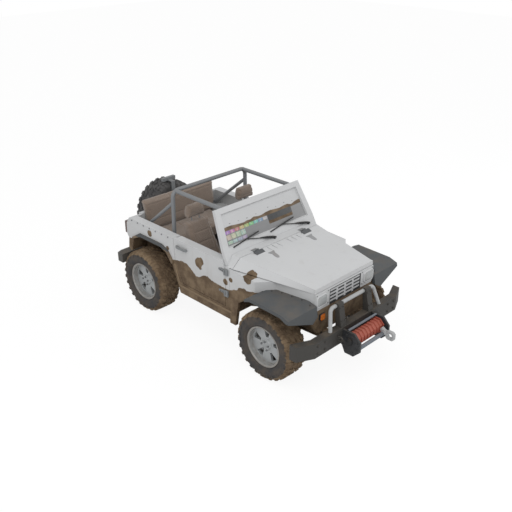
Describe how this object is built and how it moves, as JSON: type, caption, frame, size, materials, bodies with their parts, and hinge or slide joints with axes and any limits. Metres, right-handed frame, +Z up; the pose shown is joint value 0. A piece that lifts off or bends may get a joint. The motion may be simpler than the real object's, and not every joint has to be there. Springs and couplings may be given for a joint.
{
  "type": "open army 4x4 car",
  "caption": "Short open four-wheel-drive army car with roll cage, canted flares, front winch and bull bar, and a spare wheel on its side-hung tailgate",
  "frame": {"origin": "on the ground in the middle of the car's length and width, bottom centre of the bounding box", "axes": "+X is the car's left side, -Y is its front, +Z is up"},
  "size_m": [2.032, 4.125, 1.8276],
  "materials": {
    "tyre": "dusty black rubber with mud on the tread",
    "rim": "matt silver paint",
    "chassis_black": "black chassis paint",
    "cast_iron": "rough casting",
    "body_grey": "pale grey paint, muddy low down",
    "fitting_grey": "mid grey paint",
    "black_plastic": "moulded",
    "lamp_clear": "clear lens over a reflector",
    "lamp_colour": "orange and red lenses",
    "flare": "dark blue-grey moulding",
    "glass": "laminated glass",
    "cage_grey": "satin paint",
    "bumper_grey": "dark coated steel",
    "tube_grey": "light grey coated tube",
    "winch_steel": "worn steel",
    "winch_red": "worn red paint",
    "seat_cover": "brown-taupe canvas"
  },
  "bodies": {
    "car": {"chassis_frame": "chassis_black", "front_axle": "chassis_black", "rear_axle": "chassis_black", "leaf_springs": "chassis_black", "engine_block": "cast_iron", "gearbox_and_shaft": "cast_iron", "fuel_tank": "chassis_black", "body_tub": "body_grey", "hinge_leaves": "fitting_grey", "front_wings": "body_grey", "grille_shell": "body_grey", "grille_insert": "black_plastic", "headlamps": "lamp_clear", "marker_lamps": "lamp_colour", "front_flares": "flare", "rear_flares": "flare", "windscreen_frame": "body_grey", "windscreen_glass": "glass", "wipers": "black_plastic", "roll_cage": "cage_grey", "front_bumper": "bumper_grey", "bull_bar": "tube_grey", "winch_frame": "winch_steel", "winch_drum": "winch_red", "winch_hook": "winch_steel", "rear_bumper": "bumper_grey", "dashboard": "black_plastic", "steering_wheel": "black_plastic", "seat_front_right": "seat_cover", "seat_front_left": "seat_cover", "seat_bases": "chassis_black", "rear_bench": "seat_cover"},
    "steering_right": {"knuckle_right": "chassis_black"},
    "steering_left": {"knuckle_left": "chassis_black"},
    "wheel_front_right": {"tyre_front_right": "tyre", "rim_front_right": "rim"},
    "wheel_front_left": {"tyre_front_left": "tyre", "rim_front_left": "rim"},
    "wheel_rear_right": {"tyre_rear_right": "tyre", "rim_rear_right": "rim"},
    "wheel_rear_left": {"tyre_rear_left": "tyre", "rim_rear_left": "rim"},
    "right_door": {"door_right": "body_grey", "door_fittings_right": "fitting_grey"},
    "left_door": {"door_left": "body_grey", "door_fittings_left": "fitting_grey"},
    "hood_lid": {"hood": "body_grey"},
    "rear_gate": {"tailgate": "body_grey", "gate_fittings": "fitting_grey", "tyre_spare": "tyre", "rim_spare": "rim"}
  },
  "joints": [
    {"name": "steer_right", "type": "hinge", "parent": "car", "child": "steering_right", "pos_m": [-0.655, -1.0075, 0.441], "axis": [0, 0, 1], "range_deg": [-30, 30]},
    {"name": "steer_left", "type": "hinge", "parent": "car", "child": "steering_left", "pos_m": [0.655, -1.0075, 0.441], "axis": [0, 0, 1], "range_deg": [-30, 30]},
    {"name": "spin_front_right", "type": "hinge", "parent": "steering_right", "child": "wheel_front_right", "pos_m": [-0.78, -1.0075, 0.441], "axis": [1, 0, 0], "continuous": true},
    {"name": "spin_front_left", "type": "hinge", "parent": "steering_left", "child": "wheel_front_left", "pos_m": [0.78, -1.0075, 0.441], "axis": [1, 0, 0], "continuous": true},
    {"name": "spin_rear_right", "type": "hinge", "parent": "car", "child": "wheel_rear_right", "pos_m": [-0.78, 1.2925, 0.441], "axis": [1, 0, 0], "continuous": true},
    {"name": "spin_rear_left", "type": "hinge", "parent": "car", "child": "wheel_rear_left", "pos_m": [0.78, 1.2925, 0.441], "axis": [1, 0, 0], "continuous": true},
    {"name": "open_right_door", "type": "hinge", "parent": "car", "child": "right_door", "pos_m": [-0.853, -0.2875, 1], "axis": [0, 0, 1], "range_deg": [0, 65]},
    {"name": "open_left_door", "type": "hinge", "parent": "car", "child": "left_door", "pos_m": [0.853, -0.2875, 1], "axis": [0, 0, -1], "range_deg": [0, 65]},
    {"name": "open_hood", "type": "hinge", "parent": "car", "child": "hood_lid", "pos_m": [0, -0.407, 1.334], "axis": [-1, 0, 0], "range_deg": [0, 60]},
    {"name": "open_rear_gate", "type": "hinge", "parent": "car", "child": "rear_gate", "pos_m": [-0.654, 1.7305, 1], "axis": [0, 0, 1], "range_deg": [0, 95]}
  ],
  "couplings": [
    {"joint": "steer_left", "follows": "steer_right", "ratio": 1}
  ]
}
